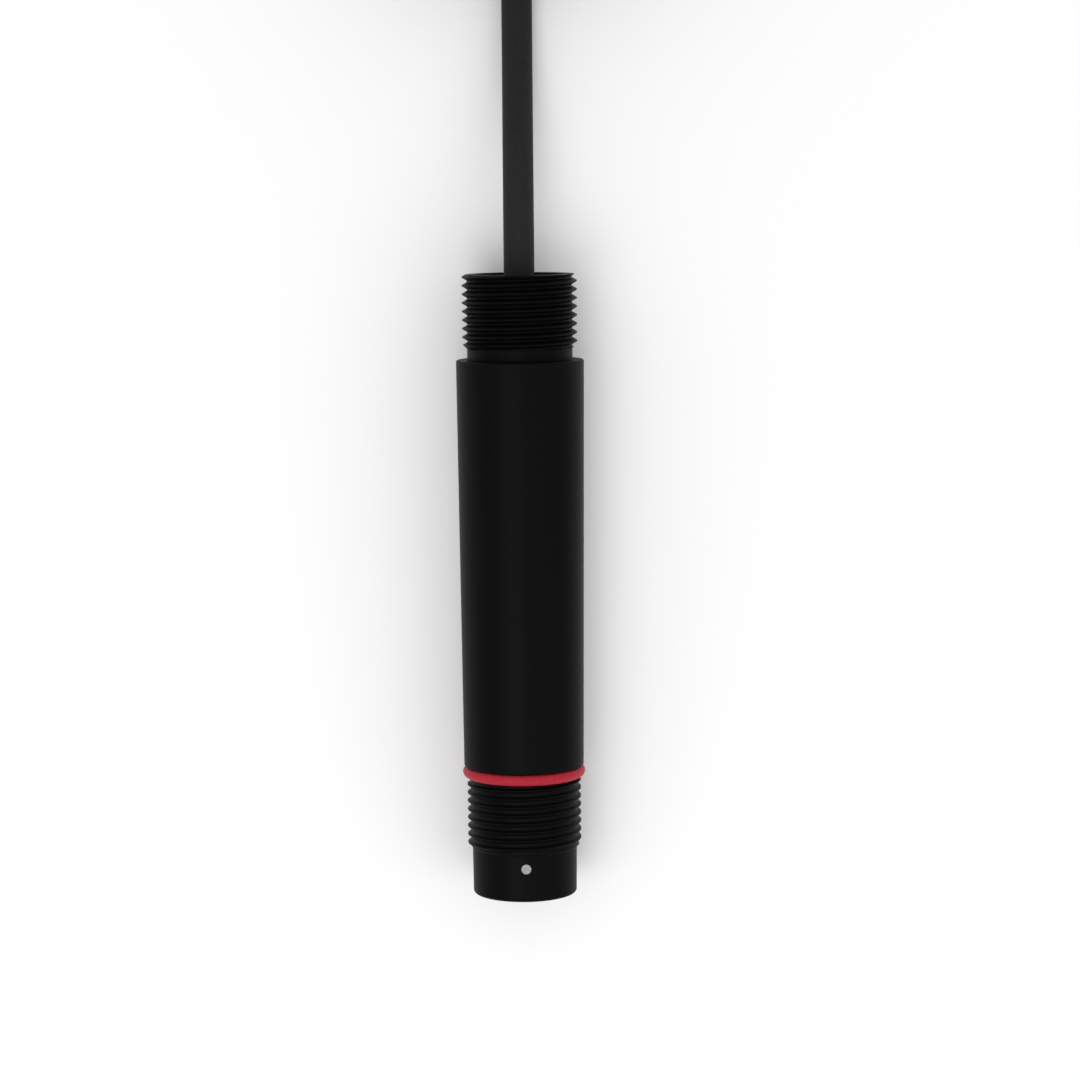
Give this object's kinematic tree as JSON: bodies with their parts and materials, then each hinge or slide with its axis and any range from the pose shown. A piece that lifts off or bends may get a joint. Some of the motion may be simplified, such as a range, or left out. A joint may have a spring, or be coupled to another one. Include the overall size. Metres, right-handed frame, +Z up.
{
  "type": "ph electrode",
  "caption": "Combination pH electrode: tubular body threaded at both ends, red sealing ring, glass measuring tip in a guard rim, side junction and a long cable tied in a hank.",
  "frame": {"origin": "bottom centre of the electrode's own box, without its cable: on the surface that it lies on", "axes": "+Z up, +Y along the body from the glass tip to the cable, +X across"},
  "size_m": [0.0648, 0.3886, 0.037],
  "materials": {
    "moulded_body": "satin",
    "red_silicone": "satin",
    "porous_ceramic": "matte",
    "electrode_glass": "gloss",
    "clear_silicone": "satin",
    "silver_wire": "satin",
    "white_plastic": "satin",
    "tinned_copper": "satin",
    "core_insulation": "satin",
    "clamp_aluminium": "satin",
    "casting_resin": "gloss",
    "cable_jacket": "matte",
    "tie_fabric": "matte",
    "shrink_sleeve": "satin",
    "clear_insulation": "satin",
    "black_insulation": "satin",
    "red_insulation": "satin",
    "green_insulation": "satin"
  },
  "bodies": {
    "root": {"sensor_body": "moulded_body", "seal_ring": "red_silicone", "junction_plug": "porous_ceramic", "glass_stem": "electrode_glass", "stem_seal": "clear_silicone", "stem_stopper": "clear_silicone", "inner_electrode": "silver_wire", "reference_tube": "white_plastic", "inner_junction": "porous_ceramic", "reference_wire": "silver_wire", "temperature_probe": "electrode_glass", "temperature_leads": "tinned_copper", "chamber_plug": "white_plastic", "crimp_sleeves": "tinned_copper", "cable_cores": "core_insulation", "cable_clamp": "clamp_aluminium", "potting": "casting_resin", "cable_run": "cable_jacket", "cable_hank": "cable_jacket", "hank_tie": "tie_fabric", "end_boot": "shrink_sleeve", "lead_measuring": "clear_insulation", "lead_reference": "black_insulation", "lead_temperature_a": "red_insulation", "lead_temperature_b": "green_insulation", "end_ferrules": "tinned_copper"}
  },
  "joints": []
}
